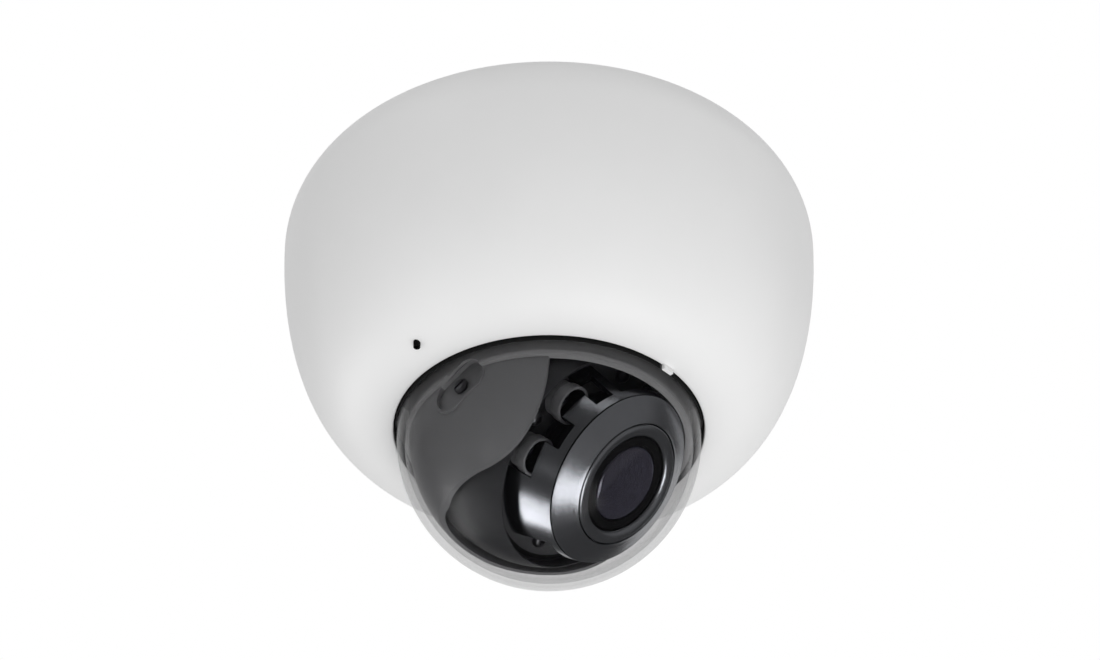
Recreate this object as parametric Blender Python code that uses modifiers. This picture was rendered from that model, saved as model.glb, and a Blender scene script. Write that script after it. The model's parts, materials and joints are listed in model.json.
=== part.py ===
"""Indoor mini dome camera that hangs from a ceiling.

Frame: metres, +Z up. The origin is the middle of the ceiling face, and the camera hangs below it.
Sizes below are in millimetres and are turned into metres where the meshes are made.
"""
from math import acos, cos, pi, radians, sin, sqrt

import bmesh
import bpy
from mathutils import Matrix, Vector

MM = 0.001

# ---------------------------------------------------------------- driving dimensions (mm, degrees)
GAP = 0.3                     # clearance that touching pieces keep
BODY_RADIUS = 65.0            # widest radius of the outer housing
RIM_RADIUS = 53.7             # housing radius at the ceiling
SHOULDER_CENTRE = 50.5        # the shoulder is a quarter ellipse round this radius
SHOULDER_DEPTH = 16.0         # depth below the ceiling where the housing is widest
LIP_DEPTH = 68.8              # depth of the dome opening
OPENING_RADIUS = 37.45        # dome opening of the housing
HOUSING_WALL = 2.2
DOME_DEPTH = 70.8             # depth of the bubble's centre, which the head turns about
BUBBLE_RADIUS = 36.35
BUBBLE_WALL = 1.75
RING_TOP = -LIP_DEPTH + 7.2   # top of the ring that clamps the bubble
RING_BOTTOM = RING_TOP - 1.5
RING_OUTER = 45.4
RING_SCREW_RADIUS = 42.8
BUBBLE_FLANGE_RADIUS = 40.0   # flange of the bubble, and the seal under it
BUBBLE_FLANGE = 1.5

PAN_ANGLE = -21.0             # which way the head looks, about Z
TILT_DOWN = 43.6              # how far the head looks below level
ROLL_ANGLE = -11.4            # turn of the head about its own optical axis

BASE_RADIUS = 50.0
BASE_PLATE = 2.6
CABLE_HOLE = (0.0, 25.0, 9.5)  # x, y, radius
SLOT_RADIUS = 41.5            # circle that the two ceiling screws stand on
BOARD_DEPTH = 12.0            # top of the main board
BOARD_RADIUS = 38.5
BOARD_BOTTOM = -BOARD_DEPTH - 1.6 - GAP    # where the parts on the board start
RESET_AT = (22, 18)
CHASSIS_DEPTH = 37.7          # top of the chassis plate
CHASSIS_PLATE = 2.0
LEG_RADIUS = 42.5
TABLE_DEPTH = 41.5            # top of the pan turntable

LINER_RADIUS = 33.3
LINER_WALL = 0.8
BALL_RADIUS = 30.8
BALL_WALL = 1.6
BALL_FRONT = 13.7             # how far in front of the centre the ball is cut open
BALL_OPENING = 27.3
BALL_TOP_ANGLE = 58.0         # the shell starts at this angle over its equator
EAR_INNER = 24.0
EAR_OUTER = 26.0
TABLE_TOP = DOME_DEPTH - TABLE_DEPTH       # heights over the dome's centre
TABLE_BOTTOM = TABLE_TOP - 2.3

FLANGE_BACK = -6.2            # flange of the ball that the head turns in
FLANGE_FRONT = -8.4
PLATE_BACK = -8.9             # plate of the head frame
PLATE_FRONT = -10.6
PLATE_SCREWS = ((24.0, 90), (24.0, 270), (21.9, -11.5), (21.9, 168.5))  # radius and direction
IR_BOARD = 0.9                # thickness of the two infrared boards
IR_BOARD_FRONT = PLATE_FRONT - GAP - IR_BOARD
LED_RADIUS = 22.2             # circle that the infrared tubes stand on
LED_SPREAD = 19.1             # half the angle between two tubes of a pair
LED_DIRECTIONS = [side + way * LED_SPREAD for side in (-90, 90) for way in (-1, 1)]
TUBE_FOOT_RADIUS = 4.3
TUBE_STEP = 14.2              # each tube is wider from here to its front
TUBE_RADIUS = 4.8
TUBE_FRONT = 17.4
BARREL_RADIUS = 21.6          # front of the barrel, which narrows towards the front
BARREL_BACK_RADIUS = 24.5
BEZEL_BACK = 24.1
BEZEL_FRONT = 27.1
TRIM_RADIUS = 15.2
GLASS_RADIUS = 9.3
GLASS_EDGE = -26.3            # edge of the front glass, which bulges in front of it
BARREL_BAND = 21.6            # the barrel's windows end this far in front of the centre

MIC_AT = (44.85, -133.4)      # radius and direction from +X of the microphone pinhole
LUG_DIRECTION = -42.3         # direction of the locating lug, from +X
POCKET_DIRECTION = -130.0     # direction of the liner's screw pocket, from +X
POCKET_LEVEL = -3.0           # height of the pocket's middle over the dome's centre
POCKET_HALF = 3.2             # half the distance between the pocket's two round ends
POCKET_RADIUS = 4.1
POCKET_SLOPE = 25.0           # turn of the pocket from level, in degrees

THIRDS = (90, 210, 330)       # directions of the legs and the ring's screws
STANDOFFS = (30, 150, 270)    # directions of the main board's screws
ROUND = 36                    # facets round a large turned piece
MEDIUM = 24                   # facets round the lens and the small rings
SMALL = 16                    # facets round a small one
TINY = 8                      # facets round a screw


# ---------------------------------------------------------------- scene set-up
for old in list(bpy.data.objects):
    bpy.data.objects.remove(old, do_unlink=True)

PARTS = bpy.data.collections.new("dome_camera")
CUTTERS = bpy.data.collections.new("cutters")
bpy.context.scene.collection.children.link(PARTS)
bpy.context.scene.collection.children.link(CUTTERS)


def frame(name, parent, location=(0, 0, 0), rotation=(0, 0, 0)):
    """An empty that holds a joint's axis. The location is in mm and the rotation in degrees."""
    empty = bpy.data.objects.new(name, None)
    empty.empty_display_size = 0.01
    empty.location = [v * MM for v in location]
    empty.rotation_euler = [radians(v) for v in rotation]
    empty.parent = parent
    bpy.context.scene.collection.objects.link(empty)
    return empty


CENTRE = frame("dome_centre", None, (0, 0, -DOME_DEPTH))
PAN = frame("pan_axis", CENTRE, rotation=(0, 0, PAN_ANGLE))      # +X is the way the head looks
TILT = frame("tilt_axis", PAN, rotation=(0, TILT_DOWN - 90, 0))  # the tilt axis is its Y
ROLL = frame("roll_axis", TILT, rotation=(0, 0, ROLL_ANGLE))     # the lens looks along its -Z


def finish(colour, roughness, metallic=0.0, alpha=1.0):
    return {"colour": colour, "roughness": roughness, "metallic": metallic, "alpha": alpha}


WHITE = finish((0.80, 0.80, 0.80), 0.45)
SMOKED = finish((0.30, 0.30, 0.32), 0.05, alpha=0.45)
BLACK_RUBBER = finish((0.01, 0.01, 0.01), 0.7)
DARK_SHELL = finish((0.05, 0.05, 0.055), 0.42)
DARK_SATIN = finish((0.06, 0.06, 0.065), 0.28, 0.4)
BLACK_PLASTIC = finish((0.015, 0.015, 0.015), 0.5)
GLASS = finish((0.12, 0.10, 0.16), 0.03, alpha=0.4)
STEEL = finish((0.55, 0.55, 0.56), 0.3, 1.0)
ZINC = finish((0.45, 0.46, 0.47), 0.45, 0.9)
BOARD_GREEN = finish((0.02, 0.13, 0.06), 0.45)
BOARD_BLACK = finish((0.02, 0.02, 0.02), 0.4)
ALLOY = finish((0.35, 0.35, 0.37), 0.4, 0.9)
BASE_GREY = finish((0.45, 0.45, 0.46), 0.5)
NYLON = finish((0.75, 0.73, 0.68), 0.5)


def material(obj, look):
    mat = bpy.data.materials.new(obj.name + "_finish")
    mat.use_nodes = True
    shader = mat.node_tree.nodes["Principled BSDF"]
    shader.inputs["Base Color"].default_value = (*look["colour"], 1.0)
    shader.inputs["Roughness"].default_value = look["roughness"]
    shader.inputs["Metallic"].default_value = look["metallic"]
    shader.inputs["Alpha"].default_value = look["alpha"]
    obj.data.materials.append(mat)


def place(name, mesh, parent, look, location=(0, 0, 0), rotation=(0, 0, 0)):
    """Link a mesh as a part, or as a cutter when it has no look."""
    obj = bpy.data.objects.new(name, mesh)
    obj.location = [v * MM for v in location]
    obj.rotation_euler = [radians(v) for v in rotation]
    obj.parent = parent
    if look is None:
        CUTTERS.objects.link(obj)
        obj.display_type = "WIRE"
        obj.hide_render = True
    else:
        PARTS.objects.link(obj)
        material(obj, look)
    return obj


def smooth(obj):
    obj.data.shade_smooth()
    obj.data.set_sharp_from_angle(angle=radians(35))
    return obj


# ---------------------------------------------------------------- shapes
def turned(name, profile, parent, look, steps=ROUND, location=(0, 0, 0), rotation=(0, 0, 0), closed=True):
    """Spin a profile of (radius, height) about Z. It runs down its outer side."""
    mesh = bpy.data.meshes.new(name)
    points = [(r * MM, 0.0, z * MM) for r, z in profile]
    count = len(points)
    edges = [(i, i + 1) for i in range(count - 1) if profile[i][0] or profile[i + 1][0]]
    if closed:
        edges.append((count - 1, 0))
    mesh.from_pydata(points, edges, [])
    obj = place(name, mesh, parent, look, location, rotation)
    screw = obj.modifiers.new("turn", "SCREW")
    screw.steps = steps
    screw.render_steps = steps
    screw.use_merge_vertices = True
    screw.merge_threshold = 0.00001
    screw.use_smooth_shade = True
    return obj


def tube(name, inner, outer, top, bottom, parent, look, steps=ROUND, location=(0, 0, 0), rotation=(0, 0, 0)):
    profile = [(inner, top), (outer, top), (outer, bottom), (inner, bottom)]
    return turned(name, profile, parent, look, steps, location, rotation)


def rod(name, radius, top, bottom, parent, look, at=(0, 0), steps=SMALL, rotation=(0, 0, 0)):
    """A cylinder along its own Z from top to bottom, standing at a place in its own XY."""
    mesh = bpy.data.meshes.new(name)
    bm = bmesh.new()
    shift = Matrix.Translation((at[0] * MM, at[1] * MM, (top + bottom) / 2 * MM))
    bmesh.ops.create_cone(bm, cap_ends=True, segments=steps, radius1=radius * MM, radius2=radius * MM,
                          depth=abs(top - bottom) * MM, matrix=shift)
    bm.to_mesh(mesh)
    bm.free()
    return smooth(place(name, mesh, parent, look, rotation=rotation))


def block(name, size, centre, parent, look):
    mesh = bpy.data.meshes.new(name)
    bm = bmesh.new()
    bmesh.ops.create_cube(bm, size=1.0, matrix=Matrix.Diagonal([v * MM for v in size]).to_4x4())
    bm.to_mesh(mesh)
    bm.free()
    return place(name, mesh, parent, look, centre)


def plate(name, outline, thickness, parent, look, location=(0, 0, 0), rotation=(0, 0, 0)):
    """A flat outline of (x, y) points, filled and thickened about its own XY plane."""
    curve = bpy.data.curves.new(name, "CURVE")
    curve.dimensions = "2D"
    curve.fill_mode = "BOTH"
    curve.extrude = thickness / 2 * MM
    spline = curve.splines.new("POLY")
    spline.points.add(len(outline) - 1)
    for point, (x, y) in zip(spline.points, outline):
        point.co = (x * MM, y * MM, 0.0, 1.0)
    spline.use_cyclic_u = True
    source = bpy.data.objects.new(name + "_outline", curve)
    bpy.context.scene.collection.objects.link(source)
    bpy.context.view_layer.update()
    mesh = bpy.data.meshes.new_from_object(source.evaluated_get(bpy.context.evaluated_depsgraph_get()))
    bpy.data.objects.remove(source, do_unlink=True)
    bm = bmesh.new()
    bm.from_mesh(mesh)
    bmesh.ops.remove_doubles(bm, verts=bm.verts, dist=0.000001)
    bmesh.ops.recalc_face_normals(bm, faces=bm.faces)
    bm.to_mesh(mesh)
    bm.free()
    mesh.name = name
    mesh.materials.clear()
    return place(name, mesh, parent, look, location, rotation)


def boolean(target, other, operation, solver="EXACT"):
    mod = target.modifiers.new(operation.lower() + "_" + other.name, "BOOLEAN")
    mod.object = other
    mod.operation = operation
    mod.solver = solver
    return target


def cut(target, *others):
    for other in others:
        boolean(target, other, "DIFFERENCE")
    return target


def join(target, *others, solver="EXACT"):
    for other in others:
        boolean(target, other, "UNION", solver)
    return target


def arc(radius, start, end, count, centre=(0.0, 0.0)):
    """Points on a circle, with the angles in degrees from the first axis."""
    angles = [radians(start + (end - start) * i / count) for i in range(count + 1)]
    return [(centre[0] + radius * cos(a), centre[1] + radius * sin(a)) for a in angles]


def polar(radius, direction):
    return radius * cos(radians(direction)), radius * sin(radians(direction))


def bezier(ends, count):
    """Points along a cubic curve with four control points."""
    points = []
    for i in range(count + 1):
        t = i / count
        weights = [(1 - t) ** 3, 3 * (1 - t) ** 2 * t, 3 * (1 - t) * t ** 2, t ** 3]
        point = sum((Vector(end) * w for end, w in zip(ends, weights)), Vector((0, 0)))
        points.append((point.x, point.y))
    return points


def level_angle(height, radius):
    """The angle from level at which a circle reaches a height."""
    return 90.0 - acos(height / radius) * 180.0 / pi


def offset_inward(path, distance):
    """The path moved square to itself, to the left of the way it runs."""
    moved = []
    last = len(path) - 1
    for i in range(last + 1):
        before = Vector(path[max(i - 1, 0)])
        after = Vector(path[min(i + 1, last)])
        along = (after - before).normalized()
        moved.append((path[i][0] + along.y * distance, path[i][1] - along.x * distance))
    return moved


# ---------------------------------------------------------------- outer cover
def housing_outline(shoulder_steps, side_steps):
    """Outer side of the housing from the ceiling down to the dome opening."""
    wide = BODY_RADIUS - SHOULDER_CENTRE
    start = acos(sqrt(1 - ((RIM_RADIUS - SHOULDER_CENTRE) / wide) ** 2))
    points = []
    for i in range(shoulder_steps):
        t = start + (pi / 2 - start) * i / shoulder_steps
        points.append((SHOULDER_CENTRE + wide * sin(t), -SHOULDER_DEPTH + SHOULDER_DEPTH * cos(t)))
    ends = [(BODY_RADIUS, -SHOULDER_DEPTH), (BODY_RADIUS, -SHOULDER_DEPTH - 30),
            (OPENING_RADIUS + 18, -LIP_DEPTH), (OPENING_RADIUS, -LIP_DEPTH)]
    return points + bezier(ends, side_steps)


def outer_housing():
    outer = housing_outline(5, 9)
    inner = offset_inward(outer, HOUSING_WALL)
    inner[-1] = (OPENING_RADIUS, -LIP_DEPTH + HOUSING_WALL)
    housing = turned("outer_housing", outer + inner[::-1], None, WHITE)
    for number, direction in enumerate(THIRDS, 1):
        at = polar(RING_SCREW_RADIUS, direction)
        boss = rod(f"ring_boss_{number}", 2.1, RING_BOTTOM - GAP, -LIP_DEPTH + 2.6, None, None, at, TINY)
        hole = rod(f"ring_boss_hole_{number}", 1.3, 0, -LIP_DEPTH + 3.2, None, None, at, TINY)
        join(housing, boss)
        cut(housing, hole)
    lug = block("locating_lug", (1.0, 3.0, 4.2), (37.55, 0, -LIP_DEPTH + 0.7), None, None)
    lug.matrix_world = Matrix.Rotation(radians(LUG_DIRECTION), 4, "Z") @ lug.matrix_basis
    join(housing, lug)
    cut(housing, rod("microphone_pinhole", 0.75, -LIP_DEPTH + 8, -LIP_DEPTH - 2, None, None,
                     polar(*MIC_AT), TINY))
    return housing


def bubble():
    inner_radius = BUBBLE_RADIUS - BUBBLE_WALL
    flange_top = RING_BOTTOM - GAP
    flange_bottom = flange_top - BUBBLE_FLANGE
    outer = [(inner_radius, flange_top), (BUBBLE_FLANGE_RADIUS, flange_top),
             (BUBBLE_FLANGE_RADIUS, flange_bottom), (BUBBLE_RADIUS, flange_bottom)]
    outer += [(r, -DOME_DEPTH + z) for r, z in arc(BUBBLE_RADIUS, 0, -90, 8)]
    inner = [(r, -DOME_DEPTH + z) for r, z in arc(inner_radius, -90, 0, 8)]
    outer[-1] = (0.0, outer[-1][1])
    inner[0] = (0.0, inner[0][1])
    return turned("bubble", outer + inner, None, SMOKED)


def bubble_gasket():
    """A rubber ring: a skirt round the bubble and a flat seal under its flange."""
    inner = BUBBLE_RADIUS + GAP
    outer = OPENING_RADIUS - GAP
    seal_top = RING_BOTTOM - 2 * GAP - BUBBLE_FLANGE
    seal_bottom = seal_top - 0.6
    profile = [(inner, seal_top), (BUBBLE_FLANGE_RADIUS, seal_top), (BUBBLE_FLANGE_RADIUS, seal_bottom),
               (outer, seal_bottom), (outer, -LIP_DEPTH - 1.4), (inner, -LIP_DEPTH - 1.4)]
    gasket = turned("bubble_gasket", profile, None, BLACK_RUBBER)
    notch = block("gasket_notch", (6.0, 3.6, 12.0), (39.0, 0, -LIP_DEPTH), None, None)
    notch.matrix_world = Matrix.Rotation(radians(LUG_DIRECTION), 4, "Z") @ notch.matrix_basis
    return cut(gasket, notch)


def bubble_ring():
    ring = tube("bubble_retaining_ring", 38.0, RING_OUTER, RING_TOP, RING_BOTTOM, None, STEEL)
    cut(ring, rod("microphone_space", 3.0, RING_TOP + 2, RING_BOTTOM - 2, None, None, polar(*MIC_AT)))
    for number, direction in enumerate(THIRDS, 1):
        at = polar(RING_SCREW_RADIUS, direction)
        cut(ring, rod(f"ring_hole_{number}", 1.4, RING_TOP + 2, RING_BOTTOM - 2, None, None, at, TINY))
        screw(f"ring_screw_{number}", 2.4, 1.0, RING_TOP + GAP, 3.9, None, STEEL, at, down=True)
    return ring


def screw(name, head, shank, seat, length, parent, look, at=(0, 0), down=True):
    """A pan head screw with its head above the seat, pointing down (or up)."""
    way = -1 if down else 1
    top = seat - way * 1.5
    profile = [(0, top), (head * 0.8, top), (head, seat - way * 0.9), (head, seat), (shank, seat),
               (shank, seat + way * length), (0, seat + way * length)]
    if not down:
        profile = profile[::-1]
    return turned(name, profile, parent, look, TINY, (*at, 0), closed=False)


def microphone_boot():
    x, y = polar(*MIC_AT)
    return tube("microphone_boot", 1.0, 2.4, -LIP_DEPTH + 10.5, -LIP_DEPTH + 6.8, None, BLACK_RUBBER, SMALL,
                (x, y, 0))


# ---------------------------------------------------------------- fixed base and electronics
def mounting_base():
    profile = [(0, 0), (BASE_RADIUS, 0), (BASE_RADIUS, -8), (BASE_RADIUS - 2, -8),
               (BASE_RADIUS - 2, -BASE_PLATE), (0, -BASE_PLATE)]
    base = turned("mounting_base", profile, None, BASE_GREY, closed=False)
    x, y, radius = CABLE_HOLE
    cut(base, rod("cable_hole", radius, 3, -6, None, None, (x, y)))
    for side, middle in (("east", 0), ("west", 180)):
        outline = arc(SLOT_RADIUS + 2.3, middle - 12, middle + 12, 6)
        outline += arc(SLOT_RADIUS - 2.3, middle + 12, middle - 12, 6)
        cut(base, plate(f"screw_slot_{side}", outline, 12, None, None))
    for number, direction in enumerate(STANDOFFS, 1):
        at = polar(33, direction)
        join(base, rod(f"standoff_{number}", 2.8, -BASE_PLATE + 1, -BOARD_DEPTH + GAP, None, None, at, TINY))
        cut(base, rod(f"standoff_hole_{number}", 1.3, -BOARD_DEPTH + 5, -BOARD_DEPTH - 2, None, None, at,
                      TINY))
        screw(f"board_screw_{number}", 2.4, 1.0, -BOARD_DEPTH - 1.6 - GAP, 5.5, None, STEEL, at, down=False)
    for number, direction in enumerate(THIRDS, 1):
        at = polar(LEG_RADIUS, direction)
        cut(base, rod(f"leg_screw_hole_{number}", 1.4, 2, -6, None, None, at, TINY),
            rod(f"leg_screw_sink_{number}", 2.9, 2, -1.5, None, None, at, TINY))
        profile = [(0, -0.2), (2.5, -0.2), (2.5, -1.2), (1.0, -1.2), (1.0, -9.0), (0, -9.0)]
        turned(f"chassis_screw_{number}", profile, None, STEEL, TINY, (*at, 0), closed=False)
    return base


def main_board():
    board = rod("main_board", BOARD_RADIUS, -BOARD_DEPTH, -BOARD_DEPTH - 1.6, None, BOARD_GREEN, steps=ROUND)
    for number, direction in enumerate(STANDOFFS, 1):
        cut(board, rod(f"board_hole_{number}", 1.4, 0, -20, None, None, polar(33, direction), TINY))
    return board


def network_jack():
    jack = block("network_jack", (16, 21, 13.4), (-14, 18, BOARD_BOTTOM - 6.7), None, ZINC)
    return cut(jack, block("jack_socket", (11.7, 16, 7.0), (-14, 23.5, BOARD_BOTTOM - 6.9), None, None),
               block("jack_latch_slot", (4.4, 15, 3.0), (-14, 23.5, BOARD_BOTTOM - 11.4), None, None))


def power_terminal():
    terminal = block("power_terminal", (10.2, 8.0, 9.6), (8, 26, BOARD_BOTTOM - 4.8), None, BOARD_GREEN)
    for number, x in enumerate((5.5, 10.5), 1):
        cut(terminal, block(f"wire_hole_{number}", (2.8, 6, 3.0), (x, 29, BOARD_BOTTOM - 6.4), None, None))
        cut(terminal, rod(f"clamp_hole_{number}", 1.6, BOARD_BOTTOM - 8.2, BOARD_BOTTOM - 12, None, None,
                          (x, 26), TINY))
    return terminal


def card_socket():
    socket = block("card_socket", (14.5, 15.0, 1.9), (27, 0, BOARD_BOTTOM - 0.95), None, STEEL)
    return cut(socket, block("card_slot", (8, 11.2, 0.8), (33, 0, BOARD_BOTTOM - 0.95), None, None))


def heat_sink():
    """A comb of fins on a common plate."""
    fins = 6
    pitch = 4.0
    fin = 1.2
    width = (fins - 1) * pitch + fin
    outline = [(0, 0), (0, 2.0)]
    for i in range(fins):
        left = i * pitch
        outline += [(left, 2.0), (left, 8.0), (left + fin, 8.0), (left + fin, 2.0)]
    outline = outline[:1] + outline[2:] + [(width, 0)]
    return plate("heat_sink", outline, 20, None, ALLOY, (-width / 2, -14, BOARD_BOTTOM), (-90, 0, 0))


def reset_switch():
    body = block("reset_switch", (6.0, 6.0, 3.5), (*RESET_AT, BOARD_BOTTOM - 1.75), None, BLACK_PLASTIC)
    cut(body, rod("reset_well", 2.0, BOARD_BOTTOM - 1.4, BOARD_BOTTOM - 6, None, None, RESET_AT, SMALL))
    rod("reset_button", 1.65, BOARD_BOTTOM - 2.0, BOARD_BOTTOM - 4.6, None, NYLON, RESET_AT, SMALL)
    return body


def chassis():
    top = -CHASSIS_DEPTH
    bottom = top - CHASSIS_PLATE
    plate_ring = tube("chassis", 9.6, 46.0, top, bottom, None, BASE_GREY)
    for number, direction in enumerate(THIRDS, 1):
        at = polar(LEG_RADIUS, direction)
        join(plate_ring, rod(f"chassis_leg_{number}", 2.6, -BASE_PLATE - GAP, bottom + 0.5, None, None, at,
                             TINY))
        cut(plate_ring, rod(f"leg_bore_{number}", 1.3, 0, -10, None, None, at, TINY))
    return plate_ring


def bearing_washer():
    return tube("pan_bearing_washer", 11, 20, -CHASSIS_DEPTH - CHASSIS_PLATE - GAP, -TABLE_DEPTH + GAP, None,
                NYLON, MEDIUM)


# ---------------------------------------------------------------- pan group (frame: dome centre)
def pan_yoke():
    """The turntable with its hub, and two ears that carry the tilt pivots."""
    hub_top = DOME_DEPTH - CHASSIS_DEPTH + 2.4
    step = DOME_DEPTH - CHASSIS_DEPTH + GAP
    profile = [(5.0, hub_top), (7.6, hub_top), (7.6, step), (9.3, step), (9.3, TABLE_TOP), (32.2, TABLE_TOP),
               (32.2, TABLE_BOTTOM), (5.0, TABLE_BOTTOM)]
    yoke = turned("pan_yoke", profile, PAN, DARK_SATIN)
    half = 4.8
    outline = [(half, TABLE_BOTTOM + 1.0), (-half, TABLE_BOTTOM + 1.0)] + arc(half, 180, 360, 10)
    for side, way in (("left", -1), ("right", 1)):
        middle = way * (EAR_INNER + EAR_OUTER) / 2
        ear = plate(f"yoke_ear_{side}", outline, EAR_OUTER - EAR_INNER, PAN, None, (0, middle, 0), (90, 0, 0))
        cut(ear, rod(f"ear_bore_{side}", 2.1, way * 30, way * 20, PAN, None, rotation=(-90, 0, 0)))
        join(yoke, ear, solver="MANIFOLD")
    return yoke


def pan_retaining_ring():
    low = DOME_DEPTH - CHASSIS_DEPTH + GAP
    return tube("pan_retaining_ring", 7.9, 13.0, low + 1.3, low, PAN, STEEL, MEDIUM)


def inner_liner():
    """A hood inside the bubble: flange and upper wall all round, and a sphere that is cut open in front."""
    inner = LINER_RADIUS - LINER_WALL
    neck_in = inner + 0.3
    neck_out = neck_in + LINER_WALL
    shelf_top = TABLE_BOTTOM - GAP
    shelf = shelf_top - 1.2
    wall = [(27.0, shelf_top), (neck_out, shelf_top), (neck_out, 0.3), (34.2, 0.3), (34.2, -0.9)]
    wall += arc(LINER_RADIUS, -1.55, -90, 9)
    wall[-1] = (0.0, -LINER_RADIUS)
    back = arc(inner, -90, -1.6, 9)
    back[0] = (0.0, -inner)
    back += [(neck_in, -0.6), (neck_in, shelf), (27.0, shelf)]
    liner = turned("inner_liner", wall + back, PAN, DARK_SHELL)
    opening = bezier([(11.8, -0.95), (11.2, -13.0), (4.5, -22.5), (-7.0, -22.5)], 7)
    opening += [(-21.0, -22.3), (-40, -15.0), (-40, -45), (45, -45), (45, -0.95)]
    cut(liner, plate("liner_opening", opening, 80, PAN, None, rotation=(90, 0, 0)))
    add_screw_pocket(liner)
    return liner


def add_screw_pocket(liner):
    """A shallow pocket with two round ends, let into the liner's side under the flange."""
    floor = LINER_RADIUS - 1.9
    radial = (Matrix.Rotation(radians(POCKET_DIRECTION - PAN_ANGLE), 4, "Z")
              @ Matrix.Translation((0, 0, POCKET_LEVEL * MM)) @ Matrix.Rotation(radians(90), 4, "Y")
              @ Matrix.Rotation(radians(POCKET_SLOPE), 4, "Z"))

    def long_plate(name, radius, near, far):
        ends = arc(radius, 0, 180, 8, (0, POCKET_HALF)) + arc(radius, 180, 360, 8, (0, -POCKET_HALF))
        obj = plate(name, ends, far - near, PAN, None)
        obj.matrix_basis = radial @ Matrix.Translation((0, 0, (near + far) / 2 * MM))
        return obj

    join(liner, long_plate("pocket_cup", POCKET_RADIUS + 0.7, floor - 0.5, LINER_RADIUS - 0.8))
    cut(liner, long_plate("pocket_hollow", POCKET_RADIUS, floor, LINER_RADIUS + 6))
    screw_head = rod("liner_screw", 1.9, floor + GAP, floor + GAP + 1.1, PAN, STEEL)
    screw_head.matrix_basis = radial.copy()
    slot = block("liner_screw_slot", (0.6, 2.6, 1.0), (0, 0, floor + 1.5), PAN, None)
    slot.matrix_basis = radial @ slot.matrix_basis
    cut(screw_head, slot)


# ---------------------------------------------------------------- tilt group (the lens looks along -Z)
def tilt_ball():
    """The round shell that the head sits in, with a flange inside and a pivot boss at each side."""
    inner = BALL_RADIUS - BALL_WALL
    outer = arc(BALL_RADIUS, BALL_TOP_ANGLE, -level_angle(BALL_FRONT, BALL_RADIUS), 10)
    seat = sqrt(inner ** 2 - BALL_OPENING ** 2)
    hollow = arc(inner, -level_angle(seat, inner), BALL_TOP_ANGLE, 10)
    profile = outer + [(BALL_OPENING, -BALL_FRONT), (BALL_OPENING, -seat)] + hollow[1:]
    ball = turned("tilt_ball", profile, TILT, DARK_SHELL)
    wedge = [(-60, 34.64), (10.74, -6.2), (60, -6.2), (60, 60), (-60, 60)]
    cut(ball, plate("ball_opening", wedge, 90, TILT, None, rotation=(90, 0, 0)))
    join(ball, tube("ball_flange", 14.0, 28.9, FLANGE_BACK, FLANGE_FRONT, TILT, None))
    for side, way in (("left", -1), ("right", 1)):
        boss = rod(f"pivot_boss_{side}", 4.4, way * 27.4, way * 30.2, TILT, None, rotation=(-90, 0, 0),
                   steps=SMALL)
        cut(boss, rod(f"pivot_bore_{side}", 1.9, way * 26, way * 28.8, TILT, None, rotation=(-90, 0, 0)))
        join(ball, boss, solver="MANIFOLD")
        pivot = [(0, 21.9), (3.2, 21.9), (3.2, 23.7), (1.6, 23.7), (1.6, 28.5), (0, 28.5)]
        profile = [(r, way * y) for r, y in pivot]
        turned(f"tilt_pivot_screw_{side}", profile if way < 0 else profile[::-1], TILT, STEEL, TINY,
               rotation=(-90, 0, 0), closed=False)
        tube(f"tilt_washer_{side}", 2.1, 4.4, max(way * 26.3, way * 27.1), min(way * 26.3, way * 27.1), TILT,
             NYLON, SMALL, rotation=(-90, 0, 0))
    return ball


# ---------------------------------------------------------------- head (roll group, the lens looks along -Z)
def head_frame():
    """A sleeve that turns in the ball's flange, and the plate in front of it."""
    profile = [(12.0, -4.2), (13.6, -4.2), (13.6, PLATE_BACK), (26.7, PLATE_BACK), (26.7, PLATE_FRONT),
               (12.0, PLATE_FRONT)]
    head = turned("head_frame", profile, ROLL, DARK_SHELL)
    for number, (radius, direction) in enumerate(PLATE_SCREWS, 1):
        at = polar(radius, direction)
        cut(head, rod(f"head_screw_hole_{number}", 1.2, 0, -20, ROLL, None, at, TINY))
        seat = PLATE_FRONT - GAP
        if direction in (90, 270):
            seat = IR_BOARD_FRONT - GAP
        screw(f"head_screw_{number}", 1.9, 0.9, seat, PLATE_BACK - 0.2 - seat, ROLL, STEEL, at, down=False)
    return head


def roll_retaining_ring():
    return tube("roll_retaining_ring", 13.9, 18.0, -4.3, -5.9, ROLL, STEEL, MEDIUM)


def infrared_lights():
    """Two boards, four emitters and the tubes round them."""
    for side, middle in (("left", -90), ("right", 90)):
        spread = LED_SPREAD + 9
        outline = arc(26.1, middle - spread, middle + spread, 8)
        outline += arc(21.9, middle + spread, middle - spread, 8)
        board = plate(f"ir_board_{side}", outline, IR_BOARD, ROLL, BOARD_BLACK,
                      (0, 0, IR_BOARD_FRONT + IR_BOARD / 2))
        cut(board, rod(f"ir_board_hole_{side}", 1.2, 0, -20, ROLL, None, polar(24.0, middle), TINY))
    foot = IR_BOARD_FRONT - GAP
    for number, direction in enumerate(LED_DIRECTIONS, 1):
        at = polar(LED_RADIUS, direction)
        emitter = [(0, foot), (1.9, foot), (1.9, foot - 0.6), (1.4, foot - 1.5), (0, foot - 1.9)]
        turned(f"ir_emitter_{number}", emitter, ROLL, GLASS, TINY, (*at, 0), closed=False)
        sleeve = [(TUBE_FOOT_RADIUS - 0.7, foot), (TUBE_FOOT_RADIUS, foot), (TUBE_FOOT_RADIUS, -TUBE_STEP),
                  (TUBE_RADIUS, -TUBE_STEP - 0.5), (TUBE_RADIUS, -TUBE_FRONT),
                  (TUBE_RADIUS - 0.7, -TUBE_FRONT), (TUBE_FOOT_RADIUS - 0.7, -TUBE_STEP - 0.9)]
        turned(f"ir_tube_{number}", sleeve, ROLL, BLACK_PLASTIC, SMALL, (*at, 0))


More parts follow.
